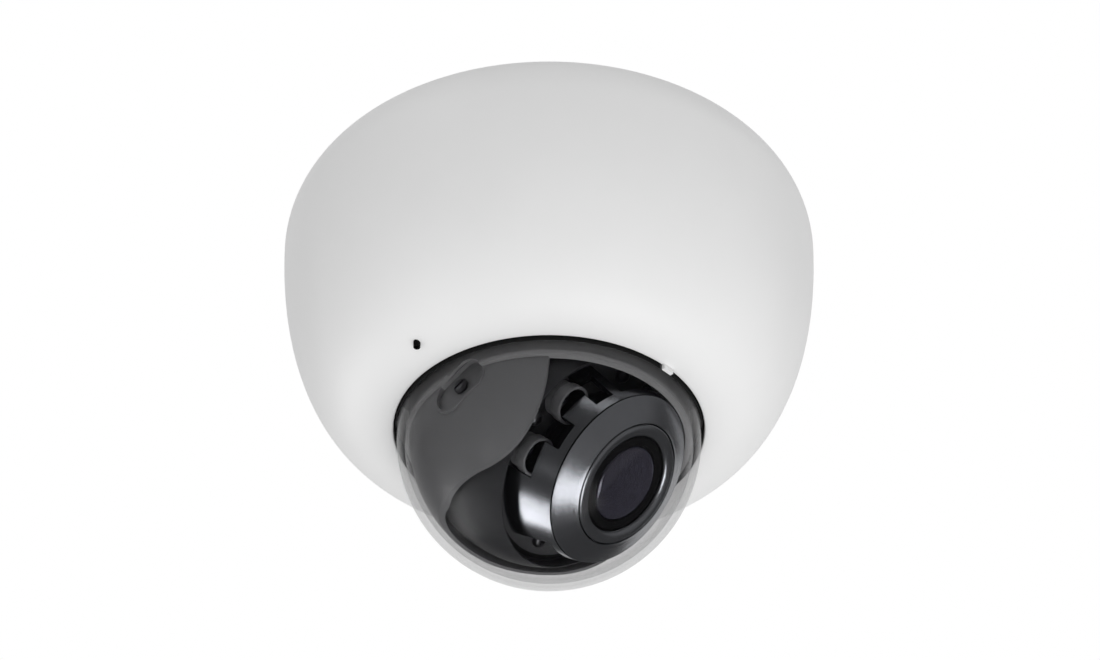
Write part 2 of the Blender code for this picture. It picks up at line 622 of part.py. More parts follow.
def barrel_shroud():
    """The sleeve round the lens, with windows for the tubes, the plate's screws and cooling air."""
    wall = 1.5
    back = PLATE_FRONT - GAP
    front = -BEZEL_BACK + GAP
    profile = [(BARREL_BACK_RADIUS - wall, back), (BARREL_BACK_RADIUS, back), (BARREL_RADIUS, front),
               (BARREL_RADIUS - wall, front)]
    shroud = turned("barrel_shroud", profile, ROLL, DARK_SATIN)
    for number, direction in enumerate(LED_DIRECTIONS, 1):
        at = polar(LED_RADIUS, direction)
        cut(shroud, rod(f"tube_space_{number}", TUBE_RADIUS + GAP, 0, -TUBE_FRONT - GAP, ROLL, None, at,
                        SMALL))
    for half in (0, 180):
        barrel_window(shroud, f"between_tubes_{half}", half - 99, half - 81, 0.0)
        barrel_window(shroud, f"beside_tube_{half}", half - 62, half - 48, -14.0)
        barrel_window(shroud, f"over_screw_{half}", half - 42, half + 12, 0.0)
    return shroud


def barrel_window(shroud, name, start, end, back):
    """Cut a window between two directions, from a height to the barrel's front band."""
    outline = arc(BARREL_BACK_RADIUS + 2, start, end, 6) + arc(BARREL_RADIUS - 4, end, start, 6)
    cut(shroud, plate(f"window_{name}", outline, back + BARREL_BAND, ROLL, None,
                      (0, 0, (back - BARREL_BAND) / 2)))


def front_bezel():
    """The cone round the lens. It narrows towards the front."""
    inner = TRIM_RADIUS + GAP
    seat = BARREL_RADIUS - 3
    profile = [(seat, -BEZEL_BACK), (BARREL_RADIUS, -BEZEL_BACK), (BARREL_RADIUS, -BEZEL_BACK - 0.3),
               (inner, -BEZEL_FRONT), (inner, -BEZEL_BACK - 1.0), (seat, -BEZEL_BACK - 1.0)]
    return turned("front_bezel", profile, ROLL, DARK_SATIN)


def trim_ring():
    """The chamfered ring inside the bezel."""
    profile = [(12.2, -22.4), (TRIM_RADIUS, -22.4), (TRIM_RADIUS, -BEZEL_FRONT), (14.4, -BEZEL_FRONT - 0.4),
               (12.8, -BEZEL_FRONT - 0.2), (12.2, -BEZEL_FRONT + 0.4)]
    return turned("trim_ring", profile, ROLL, DARK_SATIN, MEDIUM)


def lens_carrier():
    """The part between the head frame and the lens: a cup that holds the trim ring, and the lens thread."""
    profile = [(9.1, -3.0), (11.7, -3.0), (11.7, -12.2), (17.7, -12.2), (17.7, -13.6), (15.0, -13.6),
               (15.0, -22.1), (13.4, -22.1), (13.4, -13.6), (9.1, -13.6)]
    return turned("lens_carrier", profile, ROLL, BLACK_PLASTIC, MEDIUM)


def lens():
    """Lens barrel with a front and a rear glass. It turns in its thread to focus."""
    seat = GLASS_RADIUS + GAP
    barrel = [(5.4, -1.2), (8.8, -1.2), (8.8, -14.2), (11.9, -14.2), (11.9, -26.2), (11.5, -26.6),
              (seat, -26.6), (seat, -24.2), (8.2, -23.6), (8.2, -18.0), (5.4, -15.0)]
    turned("lens_barrel", barrel, ROLL, BLACK_PLASTIC, MEDIUM)
    front = [(0, -24.1), (GLASS_RADIUS, -24.8), (GLASS_RADIUS, GLASS_EDGE)]
    front += dome_points(GLASS_RADIUS, GLASS_EDGE, 1.6, 4)
    turned("front_lens", front, ROLL, GLASS, MEDIUM, closed=False)
    rear = [(0, -3.2), (5.1, -3.9), (5.1, -5.2), (0, -6.0)]
    turned("rear_lens", rear, ROLL, GLASS, SMALL, closed=False)


def dome_points(radius, level, rise, count):
    """Points of a shallow cap from its edge to the axis, bulging towards -Z."""
    return [(radius * cos(pi / 2 * i / count), level - rise * sin(pi / 2 * i / count))
            for i in range(1, count)] + [(0.0, level - rise)]


def sensor():
    rod("sensor_board", 13.0, 4.6, 3.2, ROLL, BOARD_GREEN, steps=SMALL)
    block("image_sensor", (9.0, 7.6, 1.4), (0, 0, 2.2), ROLL, BLACK_PLASTIC)
    tube("sensor_spacer", 9.4, 11.7, 2.9, -2.7, ROLL, BLACK_PLASTIC, SMALL)


# ---------------------------------------------------------------- assembly
outer_housing()
bubble()
bubble_gasket()
bubble_ring()
microphone_boot()
mounting_base()
main_board()
network_jack()
power_terminal()
card_socket()
heat_sink()
reset_switch()
chassis()
bearing_washer()
pan_yoke()
pan_retaining_ring()
inner_liner()
tilt_ball()
head_frame()
roll_retaining_ring()
infrared_lights()
barrel_shroud()
front_bezel()
trim_ring()
lens_carrier()
lens()
sensor()
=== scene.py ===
"""Looks for the mini dome camera: fine meshes, procedural materials, studio light and the camera."""
import json
from math import acos, atan2, cos, pi, radians, sin, sqrt

import bmesh
import bpy
from mathutils import Matrix, Vector


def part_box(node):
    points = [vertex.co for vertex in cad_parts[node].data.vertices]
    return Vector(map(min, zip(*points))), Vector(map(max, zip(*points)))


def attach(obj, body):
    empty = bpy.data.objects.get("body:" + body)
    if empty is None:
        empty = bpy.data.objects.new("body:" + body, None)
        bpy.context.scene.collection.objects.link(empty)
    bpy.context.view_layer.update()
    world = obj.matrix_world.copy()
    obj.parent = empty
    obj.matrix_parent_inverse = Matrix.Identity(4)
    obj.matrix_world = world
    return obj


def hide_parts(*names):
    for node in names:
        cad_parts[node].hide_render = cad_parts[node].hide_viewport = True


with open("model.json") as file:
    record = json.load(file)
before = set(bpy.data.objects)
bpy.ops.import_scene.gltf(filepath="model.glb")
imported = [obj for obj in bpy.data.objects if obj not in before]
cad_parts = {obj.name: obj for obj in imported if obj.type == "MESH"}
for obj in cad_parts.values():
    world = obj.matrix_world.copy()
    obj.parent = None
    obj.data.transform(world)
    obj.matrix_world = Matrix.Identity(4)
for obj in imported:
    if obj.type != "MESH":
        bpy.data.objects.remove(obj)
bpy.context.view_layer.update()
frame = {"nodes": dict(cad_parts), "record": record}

MM = 0.001
JOINTS = {joint["name"]: joint for joint in frame["record"]["behaviour"]["joints"]}
SLOTS = {part["node"]: part["material_slot"] for part in frame["record"]["subparts"]}

# ------------------------------------------------------------------ frames of the moving groups
CENTRE = Vector(JOINTS["pan_turn"]["pos_m"])
TILT_AXIS = Vector(JOINTS["head_tilt"]["axis"]).normalized()
LENS_AXIS = Vector(JOINTS["head_roll"]["axis"]).normalized()
ROLL_ANGLE = radians(-11.4)     # turn of the head about the lens axis, with the tilt axis as zero


def frame_of(x_axis, y_axis, z_axis, origin):
    """The matrix of a frame with these axes, in metres."""
    matrix = Matrix((x_axis, y_axis, z_axis)).transposed().to_4x4()
    matrix.translation = origin
    return matrix


UP = Vector((0, 0, 1))
PAN = frame_of(TILT_AXIS.cross(UP), TILT_AXIS, UP, CENTRE)
TILT = frame_of(TILT_AXIS.cross(-LENS_AXIS), TILT_AXIS, -LENS_AXIS, CENTRE)
ROLL = TILT @ Matrix.Rotation(ROLL_ANGLE, 4, "Z")
WORLD = Matrix.Identity(4)

# ------------------------------------------------------------------ sizes in mm that the frame gives
BODY_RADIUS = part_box("outer_housing")[1][0] / MM
DOME_DEPTH = -CENTRE.z / MM
GAP = 0.3                       # play between neighbouring pieces


def half_width(node):
    low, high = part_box(node)
    return (high[0] - low[0]) / 2 / MM


def heights(node):
    low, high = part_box(node)
    return low[2] / MM, high[2] / MM


# ------------------------------------------------------------------ node material helpers
class Nodes:
    """A short way to build a node material round one Principled shader."""

    def __init__(self, name, colour, roughness, metallic=0.0):
        self.material = bpy.data.materials.new(name)
        self.material.use_nodes = True
        self.tree = self.material.node_tree
        self.shader = self.tree.nodes["Principled BSDF"]
        self.set("Base Color", (*colour, 1.0))
        self.set("Roughness", roughness)
        self.set("Metallic", metallic)

    def set(self, socket, value):
        self.shader.inputs[socket].default_value = value

    def add(self, kind, **settings):
        node = self.tree.nodes.new(kind)
        for key, value in settings.items():
            setattr(node, key, value)
        return node

    def link(self, source, target):
        self.tree.links.new(source, target)

    def position(self):
        return self.add("ShaderNodeTexCoord").outputs["Object"]

    def noise(self, scale, detail=2.0, stretch=(1, 1, 1)):
        mapping = self.add("ShaderNodeMapping")
        mapping.inputs["Scale"].default_value = stretch
        self.link(self.position(), mapping.inputs["Vector"])
        node = self.add("ShaderNodeTexNoise")
        node.inputs["Scale"].default_value = scale
        node.inputs["Detail"].default_value = detail
        self.link(mapping.outputs["Vector"], node.inputs["Vector"])
        return node.outputs["Fac"]

    def remap(self, value, low, high, from_low=0.3, from_high=0.7):
        node = self.add("ShaderNodeMapRange")
        node.inputs["From Min"].default_value = from_low
        node.inputs["From Max"].default_value = from_high
        node.inputs["To Min"].default_value = low
        node.inputs["To Max"].default_value = high
        self.link(value, node.inputs["Value"])
        return node.outputs["Result"]

    def mix(self, factor, first, second):
        node = self.add("ShaderNodeMix", data_type="RGBA")
        node.inputs["A"].default_value = (*first, 1.0)
        node.inputs["B"].default_value = (*second, 1.0)
        self.link(factor, node.inputs["Factor"])
        return node.outputs["Result"]

    def bump(self, height, strength, distance):
        node = self.add("ShaderNodeBump")
        node.inputs["Strength"].default_value = strength
        node.inputs["Distance"].default_value = distance
        self.link(height, node.inputs["Height"])
        self.link(node.outputs["Normal"], self.shader.inputs["Normal"])


def moulded(name, colour, roughness, grain=2500.0, depth=0.00003, drift=0.05, specular=0.5):
    """Moulded plastic or painted metal: fine grain in the surface and a slow drift in colour and gloss."""
    nodes = Nodes(name, colour, roughness)
    slow = nodes.noise(35.0, 3.0)
    fine = nodes.noise(grain, 2.0)
    darker = tuple(c * (1 - drift) for c in colour)
    lighter = tuple(min(c * (1 + drift), 1.0) for c in colour)
    nodes.link(nodes.mix(nodes.remap(slow, 0, 1), darker, lighter), nodes.shader.inputs["Base Color"])
    nodes.link(nodes.remap(fine, roughness * 0.88, roughness * 1.12), nodes.shader.inputs["Roughness"])
    nodes.bump(fine, 0.35, depth)
    nodes.set("Specular IOR Level", specular)
    return nodes.material


def metal(name, colour, roughness):
    """Metal with fine brushed lines and a slow drift in gloss."""
    nodes = Nodes(name, colour, roughness, 1.0)
    lines = nodes.noise(900.0, 3.0, (1, 1, 40))
    slow = nodes.noise(120.0, 3.0)
    nodes.link(nodes.mix(nodes.remap(slow, 0, 1), tuple(c * 0.85 for c in colour), colour),
               nodes.shader.inputs["Base Color"])
    nodes.link(nodes.remap(lines, roughness * 0.8, roughness * 1.3), nodes.shader.inputs["Roughness"])
    nodes.bump(lines, 0.15, 0.00001)
    return nodes.material


def satin(name, colour, roughness):
    """Fine satin paint over metal: nearly even, with a slow drift in colour and gloss."""
    nodes = Nodes(name, colour, roughness, 1.0)
    slow = nodes.noise(70.0, 2.0)
    fine = nodes.noise(1500.0, 1.0)
    nodes.link(nodes.mix(nodes.remap(slow, 0, 1), tuple(c * 0.94 for c in colour), colour),
               nodes.shader.inputs["Base Color"])
    nodes.link(nodes.remap(fine, roughness * 0.95, roughness * 1.06), nodes.shader.inputs["Roughness"])
    nodes.bump(fine, 0.08, 0.000005)
    return nodes.material


def smoked_clear(name):
    """Lightly smoked polycarbonate: see-through, and denser towards its edge, where a paler grey is painted
    in as the sheen of grazing reflection.
    """
    nodes = Nodes(name, (0.008, 0.008, 0.009), 0.14)
    facing = nodes.add("ShaderNodeLayerWeight")
    facing.inputs["Blend"].default_value = 0.5
    edge = nodes.add("ShaderNodeMath", operation="POWER")
    nodes.link(facing.outputs["Facing"], edge.inputs[0])
    edge.inputs[1].default_value = 4.0
    cloud = nodes.noise(60.0, 2.0)
    # paler grey towards the edge: painted reflection of the bright surroundings at grazing angles
    painted_edge_sheen = nodes.remap(edge.outputs["Value"], 0, 1, 0.04, 0.45)
    colour = nodes.mix(painted_edge_sheen, (0.008, 0.008, 0.009), (0.42, 0.42, 0.43))
    nodes.link(colour, nodes.shader.inputs["Base Color"])
    nodes.link(nodes.remap(edge.outputs["Value"], 0.08, 0.50, 0.0, 0.60), nodes.shader.inputs["Alpha"])
    nodes.link(nodes.remap(cloud, 0.12, 0.16), nodes.shader.inputs["Roughness"])
    nodes.set("IOR", 1.5)
    return nodes.material


def coated_glass(name, colour):
    """Lens glass with a dark purple-blue coating, its colour painted lighter towards the edge as the sheen
    of grazing reflection.
    """
    nodes = Nodes(name, colour, 0.03)
    edge = nodes.add("ShaderNodeLayerWeight")
    edge.inputs["Blend"].default_value = 0.45
    # base colour lighter towards the edge: painted sheen of grazing reflection
    nodes.link(nodes.mix(edge.outputs["Facing"], colour, tuple(c * 2.4 for c in colour)),
               nodes.shader.inputs["Base Color"])
    nodes.link(nodes.remap(nodes.noise(90.0), 0.05, 0.06), nodes.shader.inputs["Roughness"])
    nodes.link(nodes.remap(edge.outputs["Facing"], 0.60, 0.85, 0.0, 1.0), nodes.shader.inputs["Alpha"])
    nodes.set("IOR", 1.9)
    nodes.set("Coat Weight", 1.0)
    nodes.set("Coat Roughness", 0.04)
    nodes.set("Coat Tint", (0.85, 0.82, 1.0, 1.0))
    return nodes.material


def circuit(name):
    """Green solder mask with pale tracks and darker gaps between them."""
    nodes = Nodes(name, (0.02, 0.12, 0.05), 0.35)
    brick = nodes.add("ShaderNodeTexBrick")
    brick.inputs["Scale"].default_value = 260.0
    brick.inputs["Mortar Size"].default_value = 0.06
    brick.inputs["Color1"].default_value = (0.012, 0.085, 0.035, 1)
    brick.inputs["Color2"].default_value = (0.018, 0.11, 0.045, 1)
    brick.inputs["Mortar"].default_value = (0.06, 0.22, 0.10, 1)
    nodes.link(nodes.position(), brick.inputs["Vector"])
    nodes.link(brick.outputs["Color"], nodes.shader.inputs["Base Color"])
    nodes.bump(brick.outputs["Fac"], 0.2, 0.00002)
    return nodes.material


HOUSING_WHITE = moulded("housing_white", (0.80, 0.80, 0.80), 0.45, 1800, 0.00002, 0.012, 0.3)
RUBBER_BLACK = moulded("rubber_black", (0.008, 0.008, 0.008), 0.75, 3000, 0.00003, 0.2, 0.2)
LINER_GREY = moulded("liner_grey", (0.135, 0.135, 0.14), 0.40, 2600, 0.00002, 0.05, 0.3)
# a lighter grey for the liner's neck and flange: painted light on a band that the housing's lip shades
LINER_RIM_PAINTED_LIGHT = moulded("liner_rim_painted_light", (0.26, 0.26, 0.265), 0.45, 2600, 0.00002, 0.05, 0.3)
BALL_GREY = moulded("ball_grey", (0.030, 0.030, 0.033), 0.45, 2600, 0.00002, 0.06, 0.2)
PLATE_GREY = moulded("plate_grey", (0.060, 0.060, 0.064), 0.45, 2600, 0.00002, 0.06, 0.2)
SATIN_BLACK = satin("satin_black", (0.40, 0.41, 0.44), 0.24)
PLASTIC_BLACK = moulded("plastic_black", (0.008, 0.008, 0.009), 0.5, 2600, 0.00002, 0.15, 0.2)
# near-black, darker and less glossy than the black plastic: painted deep shade for gaps, bores and
# recesses, and also the lens tube's own black
BLACK_AND_DEEP_SHADE = moulded("black_and_deep_shade", (0.003, 0.003, 0.0035), 0.6, 2600, 0.00002, 0.15, 0.1)
TUBE_GREY = moulded("tube_grey", (0.10, 0.10, 0.105), 0.35, 2600, 0.00001, 0.08)
BASE_GREY = moulded("base_grey", (0.42, 0.42, 0.43), 0.55, 2200, 0.00003, 0.04)
NYLON = moulded("nylon", (0.72, 0.70, 0.64), 0.5, 2200, 0.00002, 0.03)
TERMINAL_GREEN = moulded("terminal_green", (0.03, 0.25, 0.10), 0.45, 2200, 0.00002, 0.06)
STEEL = metal("plated_steel", (0.56, 0.56, 0.57), 0.30)
JACK_METAL = metal("jack_metal", (0.50, 0.51, 0.52), 0.35)
ANODISED = metal("anodised", (0.25, 0.25, 0.27), 0.45)
BOARD_GREEN = circuit("board_green")
BUBBLE_SMOKE = smoked_clear("bubble_smoke")
LENS_GLASS = coated_glass("lens_glass", (0.022, 0.022, 0.026))
EMITTER_RESIN = coated_glass("emitter_resin", (0.05, 0.045, 0.05))
STEEL_BLACK = metal("blackened_steel", (0.16, 0.16, 0.17), 0.38)
BOARD_BLACK = moulded("board_black", (0.012, 0.012, 0.013), 0.35, 1500, 0.00002, 0.2)

SLOT_FINISH = {
    "housing_white": HOUSING_WHITE, "smoked_bubble": BUBBLE_SMOKE, "black_rubber": RUBBER_BLACK,
    "liner_grey": LINER_GREY, "satin_black": SATIN_BLACK, "black_plastic": PLASTIC_BLACK,
    "lens_glass": LENS_GLASS, "emitter_lens": EMITTER_RESIN, "steel": STEEL, "jack_metal": JACK_METAL,
    "black_steel": STEEL_BLACK, "board_black": BOARD_BLACK, "board_green": BOARD_GREEN,
    "terminal_green": TERMINAL_GREEN, "heat_sink_metal": ANODISED, "base_grey": BASE_GREY, "nylon": NYLON,
}
for node_name, node_object in frame["nodes"].items():
    finish = SLOT_FINISH[SLOTS[node_name]]
    for material_slot in node_object.material_slots:
        material_slot.material = finish
    if not node_object.material_slots:
        node_object.data.materials.append(finish)

BODY_OF = {node: body for body, nodes in frame["record"]["behaviour"]["bodies"].items() for node in nodes}


# ------------------------------------------------------------------ mesh helpers
def goes_with(obj, node):
    """Extra detail that rides with a CAD node's body."""
    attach(obj, BODY_OF[node])


def stands_for(obj, node):
    """The piece takes the place of a CAD node: it rides with the node's body, and the node is hidden."""
    goes_with(obj, node)
    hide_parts(node)


def new_object(name, bm, matrix, material, sharp=32):
    """Turn a mesh that is being built into a smooth-shaded object, with sharp edges over an angle."""
    bmesh.ops.recalc_face_normals(bm, faces=bm.faces)
    mesh = bpy.data.meshes.new(name)
    bm.to_mesh(mesh)
    bm.free()
    obj = bpy.data.objects.new(name, mesh)
    bpy.context.scene.collection.objects.link(obj)
    obj.matrix_world = matrix
    if material:
        mesh.materials.append(material)
    mesh.shade_smooth()
    mesh.set_sharp_from_angle(angle=radians(sharp))
    return obj


def add_spun(bm, profile, segments, closed=True):
    """Spin a profile of (radius, height) in mm round Z. Points on the axis become poles."""
    rings = []
    for radius, height in profile:
        if radius == 0:
            rings.append([bm.verts.new((0, 0, height * MM))])
            continue
        rings.append([bm.verts.new((radius * MM * cos(2 * pi * i / segments),
                                    radius * MM * sin(2 * pi * i / segments), height * MM))
                      for i in range(segments)])
    pairs = list(zip(rings, rings[1:]))
    if closed:
        pairs.append((rings[-1], rings[0]))
    for first, second in pairs:
        if len(first) == 1 and len(second) == 1:
            continue
        for i in range(segments):
            j = (i + 1) % segments
            corners = [first[i % len(first)], second[i % len(second)], second[j % len(second)],
                       first[j % len(first)]]
            unique = list(dict.fromkeys(corners))
            bm.faces.new(unique)


def spun(name, profile, matrix, material, segments=128, closed=True, sharp=32, at=(0, 0, 0)):
    """A piece of revolution about the Z axis of a frame, or about a line beside that axis."""
    bm = bmesh.new()
    add_spun(bm, profile, segments, closed)
    place = matrix @ Matrix.Translation([v * MM for v in at])
    return new_object(name, bm, place, material, sharp)


def soften(obj, width):
    """Round the sharp edges a little."""
    mod = obj.modifiers.new("edges", "BEVEL")
    mod.width = width * MM
    mod.segments = 2
    mod.limit_method = "ANGLE"
    mod.angle_limit = radians(32)
    mod.harden_normals = True
    return obj


def repaint(obj, material, chosen):
    """Give another material to the faces whose centre is chosen."""
    obj.data.materials.append(material)
    for face in obj.data.polygons:
        if chosen(face.center):
            face.material_index = len(obj.data.materials) - 1


def drum(radius, top, bottom, matrix, segments=48, at=(0, 0)):
    """A plain cylinder to cut or join with."""
    profile = [(0, top), (radius, top), (radius, bottom), (0, bottom)]
    return spun("tool", profile, matrix, None, segments, closed=False, at=(at[0], at[1], 0))


def slab(outline, low, high, matrix):
    """A flat outline in mm, thickened along its frame's Z, to cut or join with."""
    bm = bmesh.new()
    top = [bm.verts.new((x * MM, y * MM, high * MM)) for x, y in outline]
    bottom = [bm.verts.new((x * MM, y * MM, low * MM)) for x, y in outline]
    count = len(outline)
    bm.faces.new(top)
    bm.faces.new(bottom[::-1])
    for i in range(count):
        j = (i + 1) % count
        bm.faces.new((top[i], bottom[i], bottom[j], top[j]))
    return new_object("tool", bm, matrix, None)


def carve(obj, tools, operation="DIFFERENCE"):
    """Apply a Boolean for each tool, and remove the tools."""
    for tool in tools:
        mod = obj.modifiers.new("tool", "BOOLEAN")
        mod.object = tool
        mod.operation = operation
        mod.solver = "EXACT"
        bpy.context.view_layer.update()
        graph = bpy.context.evaluated_depsgraph_get()
        mesh = bpy.data.meshes.new_from_object(obj.evaluated_get(graph))
        obj.modifiers.remove(mod)
        old = obj.data
        obj.data = mesh
        bpy.data.meshes.remove(old)
        bpy.data.objects.remove(tool, do_unlink=True)
    obj.data.shade_smooth()
    obj.data.set_sharp_from_angle(angle=radians(32))
    return obj


def arc(radius, start, end, count, centre=(0.0, 0.0)):
    """Points of an arc, from one direction in degrees to another."""
    angles = [radians(start + (end - start) * i / count) for i in range(count + 1)]
    return [(centre[0] + radius * cos(a), centre[1] + radius * sin(a)) for a in angles]


def polar(radius, direction):
    """The point at a radius, in a direction in degrees."""
    return radius * cos(radians(direction)), radius * sin(radians(direction))


def on_axis(points, first=False, last=False):
    """Put the first or the last point of a profile exactly on the axis."""
    if first:
        points[0] = (0, points[0][1])
    if last:
        points[-1] = (0, points[-1][1])
    return points


# ------------------------------------------------------------------ outer cover
LIP_DEPTH = 68.8
OPENING_RADIUS = 37.15
HOUSING_WALL = 2.2
SHOULDER_CENTRE = 50.5
SHOULDER_DEPTH = 16.0
RIM_RADIUS = 53.7
BUBBLE_RADIUS = 36.35
BUBBLE_WALL = 1.75
FLANGE_RADIUS = 40.0            # flange of the bubble, and the seal under it
FLANGE = 1.5
RING_BOTTOM, RING_TOP = heights("bubble_retaining_ring")
RING_SCREW_RADIUS = 42.8
THIRDS = (90, 210, 330)
MIC_AT = (44.85, -133.4)        # radius and direction of the pinhole
PINHOLE_RADIUS = 0.85
LUG_DIRECTION = -42.3


def housing_outline(shoulder_steps, side_steps):
    """Outer profile of the bowl: a rounded shoulder, then one long curve down to the lip."""
    wide = BODY_RADIUS - SHOULDER_CENTRE
    start = acos(sqrt(1 - ((RIM_RADIUS - SHOULDER_CENTRE) / wide) ** 2))
    points = []
    for i in range(shoulder_steps):
        t = start + (pi / 2 - start) * i / shoulder_steps
        points.append((SHOULDER_CENTRE + wide * sin(t), -SHOULDER_DEPTH + SHOULDER_DEPTH * cos(t)))
    ends = [(BODY_RADIUS, -SHOULDER_DEPTH), (BODY_RADIUS, -SHOULDER_DEPTH - 30),
            (OPENING_RADIUS + 18, -LIP_DEPTH), (OPENING_RADIUS, -LIP_DEPTH)]
    return points + bezier(ends, side_steps)


def bezier(ends, count):
    """Points along a cubic curve with four control points."""
    points = []
    for i in range(count + 1):
        t = i / count
        weights = [(1 - t) ** 3, 3 * (1 - t) ** 2 * t, 3 * (1 - t) * t ** 2, t ** 3]
        point = sum((Vector(end) * w for end, w in zip(ends, weights)), Vector((0, 0)))
        points.append((point.x, point.y))
    return points


def offset_inward(path, distance):
    """A profile moved towards the axis, square to itself."""
    moved = []
    last = len(path) - 1
    for i in range(last + 1):
        before = Vector(path[max(i - 1, 0)])
        after = Vector(path[min(i + 1, last)])
        along = (after - before).normalized()
        moved.append((path[i][0] + along.y * distance, path[i][1] - along.x * distance))
    return moved


def make_housing():
    outer = housing_outline(20, 44)
    inner = offset_inward(outer, HOUSING_WALL)
    inner[-1] = (OPENING_RADIUS, -LIP_DEPTH + HOUSING_WALL)
    rounding = arc(0.45, -90, -180, 4, (OPENING_RADIUS + 0.45, -LIP_DEPTH + 0.45))
    outer = [p for p in outer[:-1] if p[0] > OPENING_RADIUS + 0.6] + rounding
    housing = spun("housing_shell", outer + inner[::-1], WORLD, HOUSING_WHITE, 192)
    bosses = [drum(2.1, RING_BOTTOM - GAP, -LIP_DEPTH + 2.6, WORLD, 32, polar(RING_SCREW_RADIUS, d))
              for d in THIRDS]
    holes = [drum(1.0, 0, -LIP_DEPTH + 3.2, WORLD, 32, polar(RING_SCREW_RADIUS, d)) for d in THIRDS]
    turn = Matrix.Rotation(radians(LUG_DIRECTION), 4, "Z")
    tab = [(37.1, -1.5), (38.0, -1.5), (38.0, 1.5), (37.1, 1.5)]
    lug = slab(tab, -LIP_DEPTH - 1.35, -LIP_DEPTH + 2.5, turn)
    carve(housing, bosses + [lug], "UNION")
    mic = drum(PINHOLE_RADIUS, -LIP_DEPTH + 8, -LIP_DEPTH - 2, WORLD, 32, polar(*MIC_AT))
    carve(housing, holes + [mic])
    stands_for(housing, "outer_housing")


def make_microphone():
    """The dark mouth of the microphone's rubber boot: its nozzle fills the pinhole, in near-black as
    painted shade so that the hole reads dark.
    """
    x, y = polar(*MIC_AT)
    top = -LIP_DEPTH + 6.8
    mouth = [(0.5, top), (1.6, top), (1.6, top - 1.2), (1.3, top - 1.5), (0.5, top - 1.5)]
    goes_with(spun("microphone_mouth", mouth, WORLD, RUBBER_BLACK, 32, at=(x, y, 0)), "microphone_boot")
    low = -LIP_DEPTH + 0.12
    wide = PINHOLE_RADIUS - 0.02
    nozzle = [(0, low + 2.6), (wide, low + 2.6), (wide, low + 0.1), (0.78, low), (0.62, low),
              (0.55, low + 0.1), (0.55, low + 1.2), (0, low + 1.2)]
    # near-black nozzle: painted shade in the pinhole
    goes_with(spun("microphone_nozzle", nozzle, WORLD, BLACK_AND_DEEP_SHADE, 40, closed=False, at=(x, y, 0)),
              "microphone_boot")


def make_bubble():
    inner_radius = BUBBLE_RADIUS - BUBBLE_WALL
    flange_top = RING_BOTTOM - GAP
    flange_bottom = flange_top - FLANGE
    outer = [(inner_radius, flange_top), (FLANGE_RADIUS, flange_top), (FLANGE_RADIUS, flange_bottom),
             (BUBBLE_RADIUS, flange_bottom)]
    outer += on_axis(arc(BUBBLE_RADIUS, 0, -90, 40, (0, -DOME_DEPTH)), last=True)
    inner = on_axis(arc(inner_radius, -90, 0, 40, (0, -DOME_DEPTH)), first=True)
    bubble = spun("bubble_shell", outer + inner, WORLD, BUBBLE_SMOKE, 160, sharp=40)
    stands_for(bubble, "bubble")


def make_gasket():
    inner = BUBBLE_RADIUS + GAP
    outer = OPENING_RADIUS - GAP
    seal_top = RING_BOTTOM - 2 * GAP - FLANGE
    seal_bottom = seal_top - 0.6
    low = -LIP_DEPTH - 0.9
    profile = [(inner, seal_top), (FLANGE_RADIUS, seal_top), (FLANGE_RADIUS, seal_bottom),
               (outer, seal_bottom), (outer, low + 0.1), (outer - 0.1, low), (inner + 0.1, low),
               (inner, low + 0.1)]
    gasket = spun("gasket_ring", profile, WORLD, RUBBER_BLACK, 192)
    turn = Matrix.Rotation(radians(LUG_DIRECTION), 4, "Z")
    notch = slab([(36, -1.8), (42, -1.8), (42, 1.8), (36, 1.8)], -LIP_DEPTH - 6, -LIP_DEPTH + 6, turn)
    stands_for(carve(gasket, [notch]), "bubble_gasket")


def make_ring():
    inner, outer = 38.0, half_width("bubble_retaining_ring")
    profile = [(inner, RING_TOP), (outer, RING_TOP), (outer, RING_BOTTOM), (inner, RING_BOTTOM)]
    ring = spun("clamp_ring", profile, WORLD, STEEL, 160)
    holes = [drum(1.4, RING_TOP + 2, RING_BOTTOM - 2, WORLD, 24, polar(RING_SCREW_RADIUS, d))
             for d in THIRDS]
    holes.append(drum(3.0, RING_TOP + 2, RING_BOTTOM - 2, WORLD, 32, polar(*MIC_AT)))
    stands_for(soften(carve(ring, holes), 0.15), "bubble_retaining_ring")


# ------------------------------------------------------------------ screws
def screw_mesh(head, shank, length, matrix, name, material=STEEL):
    """A pan head screw with a cross recess. Its seat is the frame's origin and its tip points along +Z."""
    crown = [(0, -1.5), (head * 0.45, -1.46), (head * 0.75, -1.3), (head * 0.93, -0.95), (head, -0.5),
             (head, 0)]
    thread = []
    pitch = 0.5
    turns = int(length / pitch)
    for i in range(turns):
        start = i * pitch
        thread += [(shank, start + 0.12), (shank * 0.84, start + pitch / 2)]
    tip = [(shank * 0.7, length), (0, length)]
    body = spun(name, crown + thread + tip, matrix, material, 32, closed=False, sharp=30)
    arm = head * 0.5
    cross = [(arm, -0.16 * head), (arm, 0.16 * head), (-arm, 0.16 * head), (-arm, -0.16 * head)]
    quarter = matrix @ Matrix.Rotation(pi / 2, 4, "Z")
    return carve(body, [slab(cross, -2.2, -0.75, matrix), slab(cross, -2.2, -0.75, quarter)])


def middle_of(node, height):
    """A place on a node's upright axis, at a height in metres."""
    low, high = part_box(node)
    return Matrix.Translation(((low[0] + high[0]) / 2, (low[1] + high[1]) / 2, height))


